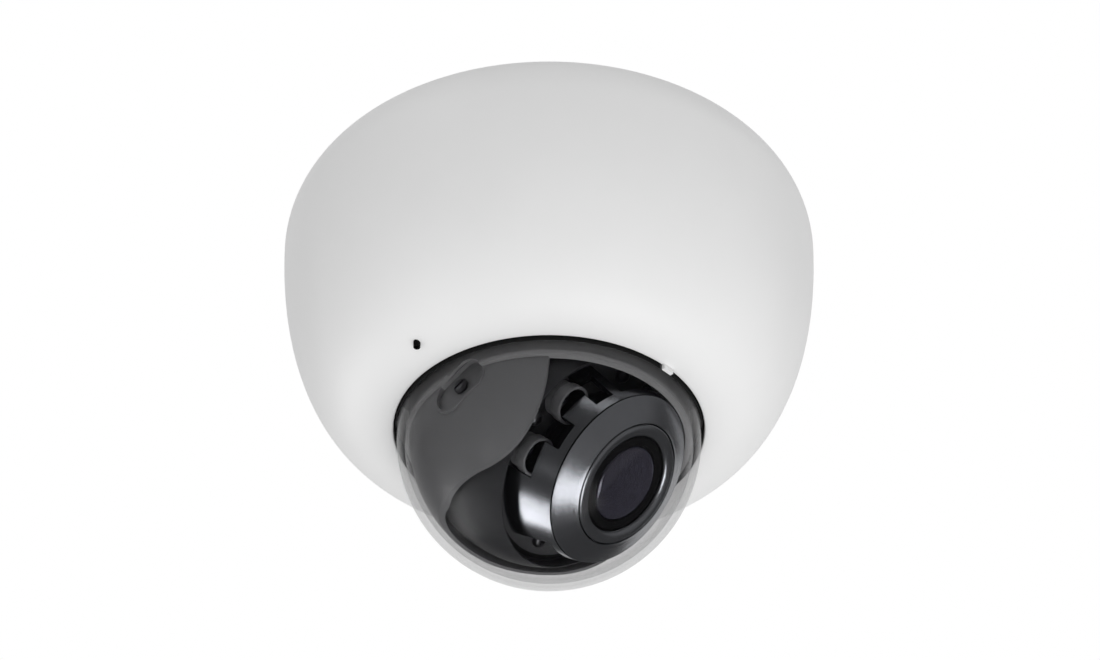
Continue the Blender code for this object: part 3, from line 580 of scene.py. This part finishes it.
def make_screws():
    upside = Matrix.Rotation(pi, 4, "X")
    for number, direction in enumerate(THIRDS, 1):
        x, y = polar(RING_SCREW_RADIUS, direction)
        seat = Matrix.Translation((x * MM, y * MM, (RING_TOP + GAP) * MM)) @ upside
        stands_for(screw_mesh(2.4, 1.0, 3.9, seat, f"ring_screw_fine_{number}"), f"ring_screw_{number}")
        node = f"chassis_screw_{number}"
        seat = middle_of(node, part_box(node)[1][2] - 1.0 * MM) @ upside
        flatter = seat @ Matrix.Diagonal((1, 1, 0.66, 1))
        stands_for(screw_mesh(2.5, 1.0, 7.8, flatter, f"chassis_screw_fine_{number}"), node)
        node = f"board_screw_{number}"
        seat = middle_of(node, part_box(node)[0][2] + 1.5 * MM)
        stands_for(screw_mesh(2.4, 1.0, 5.5, seat, f"board_screw_fine_{number}"), node)
    for number, (radius, direction) in enumerate(PLATE_SCREWS, 1):
        seat_depth = IR_BOARD_FRONT - GAP if direction in (90, 270) else PLATE_FRONT - GAP
        x, y = polar(radius, direction)
        seat = ROLL @ Matrix.Translation((x * MM, y * MM, seat_depth * MM))
        length = PLATE_BACK - 0.2 - seat_depth
        fine = screw_mesh(1.9, 0.9, length, seat, f"head_screw_fine_{number}", STEEL_BLACK)
        stands_for(fine, f"head_screw_{number}")


# ------------------------------------------------------------------ fixed base
BASE_RADIUS = half_width("mounting_base")
BASE_PLATE = 2.6
LEG_RADIUS = 42.5
CABLE_HOLE = (0.0, 25.0, 9.5)   # x, y, radius
SLOT_RADIUS = 41.5              # circle that the slots for the ceiling screws follow
SLOT_HALF = 2.3
SLOT_REACH = 12                 # degrees to either side of a slot's middle
POST_PLACES = [polar(33, direction) for direction in (30, 150, 270)]
BOARD_DEPTH = -heights("main_board")[1]
CHASSIS_BOTTOM = heights("chassis")[0]
CHASSIS_PLATE = 2.0


def make_base():
    profile = [(0, 0), (BASE_RADIUS, 0), (BASE_RADIUS, -8), (BASE_RADIUS - 2, -8),
               (BASE_RADIUS - 2, -BASE_PLATE), (0, -BASE_PLATE)]
    base = spun("base_plate", profile, WORLD, BASE_GREY, 160, closed=False)
    tools = [drum(CABLE_HOLE[2], 3, -6, WORLD, 64, CABLE_HOLE[:2])]
    for middle in (0, 180):
        start, end = middle - SLOT_REACH, middle + SLOT_REACH
        outline = arc(SLOT_RADIUS + SLOT_HALF, start, end, 16)
        outline += arc(SLOT_HALF, end, end + 180, 8, polar(SLOT_RADIUS, end))[1:-1]
        outline += arc(SLOT_RADIUS - SLOT_HALF, end, start, 16)
        outline += arc(SLOT_HALF, start + 180, start + 360, 8, polar(SLOT_RADIUS, start))[1:-1]
        tools.append(slab(outline, -6, 6, WORLD))
    for direction in THIRDS:
        at = polar(LEG_RADIUS, direction)
        tools += [drum(1.4, 2, -6, WORLD, 32, at), drum(2.9, 2, -1.5, WORLD, 32, at)]
    posts = [drum(2.8, -BASE_PLATE + 1, -BOARD_DEPTH + GAP, WORLD, 32, at) for at in POST_PLACES]
    carve(base, posts, "UNION")
    carve(base, tools)
    carve(base, [drum(1.2, -BOARD_DEPTH + 5, -BOARD_DEPTH - 2, WORLD, 32, at) for at in POST_PLACES])
    stands_for(soften(base, 0.25), "mounting_base")


def make_chassis():
    top = CHASSIS_BOTTOM + CHASSIS_PLATE
    outer = half_width("chassis")
    profile = [(9.6, top), (outer, top), (outer, CHASSIS_BOTTOM), (9.6, CHASSIS_BOTTOM)]
    chassis = spun("chassis_frame", profile, WORLD, BASE_GREY, 160)
    legs = [drum(2.6, -BASE_PLATE - GAP, CHASSIS_BOTTOM + 0.5, WORLD, 40, polar(LEG_RADIUS, d))
            for d in THIRDS]
    bores = [drum(1.3, 0, -10, WORLD, 24, polar(LEG_RADIUS, d)) for d in THIRDS]
    carve(chassis, legs, "UNION")
    carve(chassis, bores)
    stands_for(soften(chassis, 0.25), "chassis")


# ------------------------------------------------------------------ pan group
LINER_RADIUS = 33.3
LINER_WALL = 0.8
TABLE_TOP = DOME_DEPTH - 41.5
TABLE_BOTTOM = TABLE_TOP - 2.3
LINER_FLANGE = 34.2
TABLE_RADIUS = 32.2             # turntable of the yoke
POCKET_DIRECTION = -130.0       # screw pocket of the liner
POCKET_LEVEL = -3.0
POCKET_HALF = 3.2               # half the distance between the centres of its two round ends
POCKET_RADIUS = 4.1
POCKET_SLOPE = 25.0


def make_yoke():
    step = DOME_DEPTH + CHASSIS_BOTTOM + CHASSIS_PLATE + GAP
    hub_top = step + 2.1
    profile = [(5.0, hub_top), (7.6, hub_top), (7.6, step), (9.3, step), (9.3, TABLE_TOP),
               (TABLE_RADIUS, TABLE_TOP), (TABLE_RADIUS, TABLE_BOTTOM), (5.0, TABLE_BOTTOM)]
    yoke = spun("yoke_casting", profile, PAN, SATIN_BLACK, 128)
    half = 4.8
    outline = [(half, TABLE_BOTTOM + 1.0), (-half, TABLE_BOTTOM + 1.0)] + arc(half, 180, 360, 24)
    ears, bores = [], []
    across = PAN @ Matrix.Rotation(pi / 2, 4, "X")
    for way in (-1, 1):
        low, high = sorted((-way * 24.0, -way * 26.0))
        ears.append(slab(outline, low, high, across))
        bores.append(drum(2.1, -way * 20 + 10, -way * 20 - 10, across, 32))
    carve(yoke, ears, "UNION")
    carve(yoke, bores)
    stands_for(soften(yoke, 0.25), "pan_yoke")


def liner_opening():
    """Side outline of the hood's opening: forward and up from the dome's centre."""
    opening = bezier([(11.8, -0.95), (11.2, -13.0), (4.5, -22.5), (-7.0, -22.5)], 24)
    return opening + [(-21.0, -22.3), (-40, -15.0), (-40, -45), (45, -45), (45, -0.95)]


def make_liner():
    inner = LINER_RADIUS - LINER_WALL
    neck_in = inner + 0.3
    neck_out = neck_in + LINER_WALL
    shelf_top = TABLE_BOTTOM - GAP
    shelf = shelf_top - 1.2
    wall = [(27.0, shelf_top), (neck_out, shelf_top), (neck_out, 0.3), (LINER_FLANGE, 0.3),
            (LINER_FLANGE, -0.9)]
    wall += on_axis(arc(LINER_RADIUS, -1.55, -90, 44), last=True)
    back = on_axis(arc(inner, -90, -1.6, 44), first=True)
    back += [(neck_in, -0.6), (neck_in, shelf), (27.0, shelf)]
    liner = spun("liner_hood", wall + back, PAN, LINER_GREY, 192)
    across = PAN @ Matrix.Rotation(pi / 2, 4, "X")
    radial = PAN @ Matrix.Rotation(radians(POCKET_DIRECTION) - pan_angle(), 4, "Z")
    radial = radial @ Matrix.Translation((0, 0, POCKET_LEVEL * MM)) @ Matrix.Rotation(pi / 2, 4, "Y")
    radial = radial @ Matrix.Rotation(radians(POCKET_SLOPE), 4, "Z")
    floor = LINER_RADIUS - 1.9
    cup = slab(long_round(POCKET_RADIUS + 0.7), floor - 0.5, LINER_RADIUS - 0.8, radial)
    carve(liner, [cup], "UNION")
    carve(liner, [slab(liner_opening(), -40, 40, across),
                  slab(long_round(POCKET_RADIUS), floor, LINER_RADIUS + 6, radial)])
    # the neck and flange above this height get the lighter grey: painted light where the housing's lip
    # shades the liner
    repaint(liner, LINER_RIM_PAINTED_LIGHT, lambda centre: centre.z > -1.3 * MM)
    stands_for(liner, "inner_liner")
    head = [(0, floor + GAP + 1.1), (1.3, floor + GAP + 1.1), (1.9, floor + GAP + 0.6), (1.9, floor + GAP),
            (0, floor + GAP)]
    screw = spun("liner_screw_fine", head, radial, STEEL_BLACK, 40, closed=False)
    slot = slab([(-0.3, -1.3), (0.3, -1.3), (0.3, 1.3), (-0.3, 1.3)], floor + GAP + 0.6, floor + 3, radial)
    stands_for(carve(screw, [slot]), "liner_screw")


def long_round(radius):
    """Outline with two round ends."""
    return arc(radius, 0, 180, 24, (0, POCKET_HALF)) + arc(radius, 180, 360, 24, (0, -POCKET_HALF))


def pan_angle():
    """Direction that the head looks, from +X."""
    ahead = TILT_AXIS.cross(UP)
    return atan2(ahead.y, ahead.x)


# ------------------------------------------------------------------ tilt group
BALL_RADIUS = 30.8
BALL_WALL = 1.6
BALL_FRONT = 13.7
BALL_OPENING = 27.3
BALL_TOP_ANGLE = 58.0           # where the ball's wall ends at the back, in degrees above level
FLANGE_BACK = -6.2              # the ball's inner flange, which the head turns on
FLANGE_FRONT = -8.4


def level_angle(height, radius):
    """Degrees above level at which a circle of a radius reaches a height."""
    return 90.0 - acos(height / radius) * 180.0 / pi


def make_ball():
    inner = BALL_RADIUS - BALL_WALL
    start = BALL_TOP_ANGLE
    seat = sqrt(inner ** 2 - BALL_OPENING ** 2)
    outer = arc(BALL_RADIUS, start, -level_angle(BALL_FRONT, BALL_RADIUS), 40)
    hollow = arc(inner, -level_angle(seat, inner), start, 40)
    profile = outer + [(BALL_OPENING, -BALL_FRONT), (BALL_OPENING, -seat)] + hollow[1:]
    ball = spun("ball_shroud", profile, TILT, BALL_GREY, 160)
    across = TILT @ Matrix.Rotation(pi / 2, 4, "X")
    wedge = [(-60, 34.64), (10.74, FLANGE_BACK), (60, FLANGE_BACK), (60, 60), (-60, 60)]
    carve(ball, [slab(wedge, -45, 45, across)])
    section = [(14.0, FLANGE_BACK), (28.9, FLANGE_BACK), (28.9, FLANGE_FRONT), (14.0, FLANGE_FRONT)]
    tools = [spun("tool", section, TILT, None, 160)]
    for way in (-1, 1):
        low, high = sorted((-way * 27.4, -way * 30.2))
        tools.append(drum(4.4, high, low, across, 40))
    carve(ball, tools, "UNION")
    stands_for(soften(ball, 0.2), "tilt_ball")


# ------------------------------------------------------------------ head
PLATE_BACK = -8.9
PLATE_FRONT = -10.6
PLATE_RADIUS = 26.7
PLATE_SHADE_EDGE = 25.6               # outside this radius the plate is painted near-black, as shade in the gap behind the barrel
IR_BOARD_FRONT = PLATE_FRONT - GAP - 0.9
PLATE_SCREWS = ((24.0, 90), (24.0, 270), (21.9, -11.5), (21.9, 168.5))
LED_RADIUS = 22.2
LED_SPREAD = 19.1
LED_DIRECTIONS = [side + way * LED_SPREAD for side in (-90, 90) for way in (-1, 1)]
TUBE_FOOT_RADIUS = 4.3
TUBE_STEP = 14.2
TUBE_RADIUS = 4.8
TUBE_FRONT = 17.4
GLASS_RADIUS = 9.3
GLASS_EDGE = -26.3
BARREL_BACK_RADIUS = 24.5
BARREL_RADIUS = 21.6
BARREL_BAND = 21.6              # depth at which the whole front band of the barrel starts
BARREL_WALL = 1.5
BEZEL_BACK = 24.1
BEZEL_FRONT = 27.1
TRIM_RADIUS = 15.2


def make_head_frame():
    profile = [(12.0, -4.2), (13.6, -4.2), (13.6, PLATE_BACK), (PLATE_RADIUS, PLATE_BACK),
               (PLATE_RADIUS, PLATE_FRONT), (PLATE_SHADE_EDGE, PLATE_FRONT), (12.0, PLATE_FRONT)]
    head = spun("head_plate", profile, ROLL, PLATE_GREY, 144)
    # the plate's rim, seen in the dark gap between ball and barrel, is painted near-black as shade
    repaint(head, BLACK_AND_DEEP_SHADE, lambda centre: Vector(centre[:2]).length > (PLATE_SHADE_EDGE + 0.1) * MM)
    carve(head, [drum(1.2, 0, -20, ROLL, 24, polar(*place)) for place in PLATE_SCREWS])
    stands_for(soften(head, 0.2), "head_frame")


def make_tubes():
    foot = IR_BOARD_FRONT - GAP
    for number, direction in enumerate(LED_DIRECTIONS, 1):
        x, y = polar(LED_RADIUS, direction)
        bore = TUBE_FOOT_RADIUS - 0.7
        profile = [(TUBE_FOOT_RADIUS, foot), (TUBE_FOOT_RADIUS, -TUBE_STEP),
                   (TUBE_RADIUS - 0.1, -TUBE_STEP - 0.4), (TUBE_RADIUS, -TUBE_STEP - 0.6),
                   (TUBE_RADIUS, -TUBE_FRONT + 0.2),
                   (TUBE_RADIUS - 0.2, -TUBE_FRONT), (TUBE_RADIUS - 0.5, -TUBE_FRONT),
                   (TUBE_RADIUS - 0.7, -TUBE_FRONT + 0.25), (bore, -TUBE_STEP - 0.9), (bore, foot)]
        tube = spun(f"led_tube_{number}", profile, ROLL, TUBE_GREY, 64, at=(x, y, 0))
        # the bores are painted near-black as shade inside the tubes
        repaint(tube, BLACK_AND_DEEP_SHADE, lambda centre: Vector(centre[:2]).length < (TUBE_RADIUS - 0.62) * MM)
        stands_for(tube, f"ir_tube_{number}")
        rim, lens = foot - 0.6, 1.45
        dome = [(0, foot), (1.9, foot), (1.9, rim), (lens, rim)]
        dome += on_axis(arc(lens, 0, -90, 10, (0, rim)), last=True)[1:]
        dome = [(r, max(z, foot - 1.9)) for r, z in dome]
        stands_for(spun(f"led_lens_{number}", dome, ROLL, EMITTER_RESIN, 40, closed=False, at=(x, y, 0)),
                   f"ir_emitter_{number}")


def window(start, end, back):
    """A cutter for the barrel between two directions, from a height to its front band."""
    outline = arc(BARREL_BACK_RADIUS + 2, start, end, 24) + arc(BARREL_RADIUS - 4, end, start, 24)
    return slab(outline, -BARREL_BAND, back, ROLL)


def barrel_inside(height):
    """Radius just inside the sleeve's outer face at a height, all in metres."""
    back, front = (PLATE_FRONT - GAP) * MM, (-BEZEL_BACK + GAP) * MM
    along = (height - back) / (front - back)
    return (BARREL_BACK_RADIUS + (BARREL_RADIUS - BARREL_BACK_RADIUS) * along - 0.4) * MM


def make_barrel():
    back, front = PLATE_FRONT - GAP, -BEZEL_BACK + GAP
    profile = [(BARREL_BACK_RADIUS - BARREL_WALL, back), (BARREL_BACK_RADIUS, back), (BARREL_RADIUS, front),
               (BARREL_RADIUS - BARREL_WALL, front)]
    barrel = spun("barrel_sleeve", profile, ROLL, SATIN_BLACK, 160)
    spaces = [drum(TUBE_RADIUS + GAP, 0, -TUBE_FRONT - GAP, ROLL, 64, polar(LED_RADIUS, d))
              for d in LED_DIRECTIONS]
    for half in (0, 180):
        spaces += [window(half - 99, half - 81, 0.0), window(half - 62, half - 48, -14.0),
                   window(half - 42, half + 12, 0.0)]
    soften(carve(barrel, spaces), 0.12)
    # the sleeve's inside is painted near-black as shade, seen through its windows
    repaint(barrel, BLACK_AND_DEEP_SHADE, lambda centre: Vector(centre[:2]).length < barrel_inside(centre.z))
    stands_for(barrel, "barrel_shroud")
    outer = [(BARREL_RADIUS - 3, -BEZEL_BACK), (BARREL_RADIUS - 0.25, -BEZEL_BACK),
             (BARREL_RADIUS - 0.15, -BEZEL_BACK - 0.01), (BARREL_RADIUS - 0.17, -BEZEL_BACK - 0.06)]
    wide, narrow, steps = BARREL_RADIUS - 0.1, TRIM_RADIUS + GAP, 12
    cone = []
    for i in range(1, steps):
        t = i / steps
        cone.append((wide + (narrow - wide) * t, -BEZEL_BACK - (BEZEL_FRONT - BEZEL_BACK) * t))
    inner = [(narrow + 0.1, -BEZEL_FRONT), (narrow, -BEZEL_FRONT + 0.15), (narrow, -BEZEL_BACK - 1.0),
             (BARREL_RADIUS - 3, -BEZEL_BACK - 1.0)]
    stands_for(spun("bezel_cone", outer + cone + inner, ROLL, SATIN_BLACK, 192, sharp=28), "front_bezel")


def make_trim_ring():
    crown = bezier([(TRIM_RADIUS, -BEZEL_FRONT + 0.1), (14.8, -BEZEL_FRONT - 0.6),
                    (12.5, -BEZEL_FRONT - 0.5), (12.2, -BEZEL_FRONT + 0.4)], 16)
    profile = [(12.2, -22.4), (TRIM_RADIUS, -22.4)] + crown
    stands_for(spun("trim_collar", profile, ROLL, SATIN_BLACK, 160, sharp=20), "trim_ring")


def make_lens():
    seat = GLASS_RADIUS + GAP
    barrel = [(5.4, -1.2), (8.8, -1.2), (8.8, -14.2), (11.9, -14.2), (11.9, -26.2), (11.75, -26.5),
              (11.5, -26.6), (seat + 0.25, -26.6), (seat, -26.45), (seat, -24.2)]
    for i in range(8):
        barrel += [(8.8 - 0.25 * i, -23.6 + 0.65 * i), (8.5 - 0.25 * i, -23.3 + 0.65 * i)]
    barrel += [(6.9, -18.0), (5.4, -15.0)]
    # the lens tube is black, in the near-black that also paints the deep shade round the glass
    stands_for(spun("lens_tube", barrel, ROLL, BLACK_AND_DEEP_SHADE, 144, sharp=20), "lens_barrel")
    front = [(0, -24.1), (GLASS_RADIUS, -24.8), (GLASS_RADIUS, GLASS_EDGE)]
    bulge, steps = 1.6, 20
    for i in range(1, steps):
        t = pi / 2 * i / steps
        front.append((GLASS_RADIUS * cos(t), GLASS_EDGE - bulge * sin(t)))
    front += [(0, GLASS_EDGE - bulge)]
    stands_for(spun("front_glass", front, ROLL, LENS_GLASS, 128, closed=False), "front_lens")


# ------------------------------------------------------------------ stage, light and camera
CAMERA_ELEVATION = radians(-38.29)
CAMERA_DISTANCE = 1.09
AIM_HEIGHT = -0.03773
AIM_ASIDE = 0.00024
FOCAL_PER_WIDTH = 4.0745454545    # focal length in picture widths
FLOOR_HEIGHT = -1.25
WORLD_FILL = 0.83
WORLD_GLOSSY = 0.09


def make_world():
    """A white backdrop for the camera, soft light for the surfaces, and a dark studio for reflections."""
    world = bpy.data.worlds.new("studio")
    world.use_nodes = True
    bpy.context.scene.world = world
    tree = world.node_tree
    tree.nodes.clear()
    out = tree.nodes.new("ShaderNodeOutputWorld")
    path = tree.nodes.new("ShaderNodeLightPath")
    backgrounds = []
    for strength in (WORLD_FILL, WORLD_GLOSSY, 1.0):
        background = tree.nodes.new("ShaderNodeBackground")
        background.inputs["Color"].default_value = (1, 1, 1, 1)
        background.inputs["Strength"].default_value = strength
        backgrounds.append(background)
    glossy = tree.nodes.new("ShaderNodeMixShader")
    tree.links.new(path.outputs["Is Glossy Ray"], glossy.inputs["Fac"])
    tree.links.new(backgrounds[0].outputs["Background"], glossy.inputs[1])
    tree.links.new(backgrounds[1].outputs["Background"], glossy.inputs[2])
    seen = tree.nodes.new("ShaderNodeMixShader")
    tree.links.new(path.outputs["Is Camera Ray"], seen.inputs["Fac"])
    tree.links.new(glossy.outputs["Shader"], seen.inputs[1])
    tree.links.new(backgrounds[2].outputs["Background"], seen.inputs[2])
    tree.links.new(seen.outputs["Shader"], out.inputs["Surface"])


def area_light(name, direction, distance, size, power, diffuse=True, glossy=True):
    """A soft box that shines at the dome from a direction. The size is its width and height."""
    data = bpy.data.lights.new(name, "AREA")
    data.shape = "RECTANGLE"
    data.size, data.size_y = size
    data.energy = power
    lamp = bpy.data.objects.new(name, data)
    bpy.context.scene.collection.objects.link(lamp)
    away = Vector(direction).normalized()
    target = Vector((0, 0, -DOME_DEPTH * MM))
    lamp.location = target + away * distance
    lamp.rotation_mode = "QUATERNION"
    lamp.rotation_quaternion = (-away).to_track_quat("-Z", "Y")
    lamp.visible_camera = False
    lamp.visible_diffuse = diffuse
    lamp.visible_glossy = glossy


def make_stage():
    floor_material = moulded("floor_pale", (0.86, 0.86, 0.86), 0.8, 400, 0.0001, 0.01)
    bm = bmesh.new()
    bmesh.ops.create_grid(bm, x_segments=2, y_segments=2, size=6.0)
    floor = new_object("floor", bm, Matrix.Translation((0, 0, FLOOR_HEIGHT)), floor_material)
    floor.visible_glossy = False
    area_light("key", (0.20, -0.15, -0.97), 0.9, (0.70, 0.70), 3.7, glossy=False)
    area_light("sheen", (0.36, -0.10, -0.93), 0.9, (0.50, 0.42), 2.2, diffuse=False)
    area_light("window", (-0.76, 0.50, -0.40), 0.8, (0.46, 0.25), 1.4, diffuse=False)
    area_light("glow", (-0.72, -0.46, -0.53), 0.8, (0.14, 0.14), 0.12, diffuse=False)
    area_light("side", (0.93, -0.25, -0.27), 0.9, (1.0, 1.0), 0.45, diffuse=False)
    area_light("rim", (0.0, 0.785, 0.62), 0.9, (1.3, 1.0), 3.0, diffuse=False)


def make_camera():
    data = bpy.data.cameras.new("camera")
    data.lens = data.sensor_width * FOCAL_PER_WIDTH
    camera = bpy.data.objects.new("camera", data)
    bpy.context.scene.collection.objects.link(camera)
    bpy.context.scene.camera = camera
    away = Vector((0, -cos(CAMERA_ELEVATION), sin(CAMERA_ELEVATION)))
    camera.location = Vector((AIM_ASIDE, 0, AIM_HEIGHT)) + away * CAMERA_DISTANCE
    camera.rotation_mode = "QUATERNION"
    camera.rotation_quaternion = (-away).to_track_quat("-Z", "Y")
    data.clip_start = 0.01
    data.clip_end = 50.0


bpy.context.scene.view_settings.view_transform = "Standard"
make_camera()
make_world()
make_stage()
make_housing()
make_microphone()
make_bubble()
make_gasket()
make_ring()
make_base()
make_chassis()
make_yoke()
make_liner()
make_ball()
make_head_frame()
make_tubes()
make_barrel()
make_trim_ring()
make_lens()
make_screws()
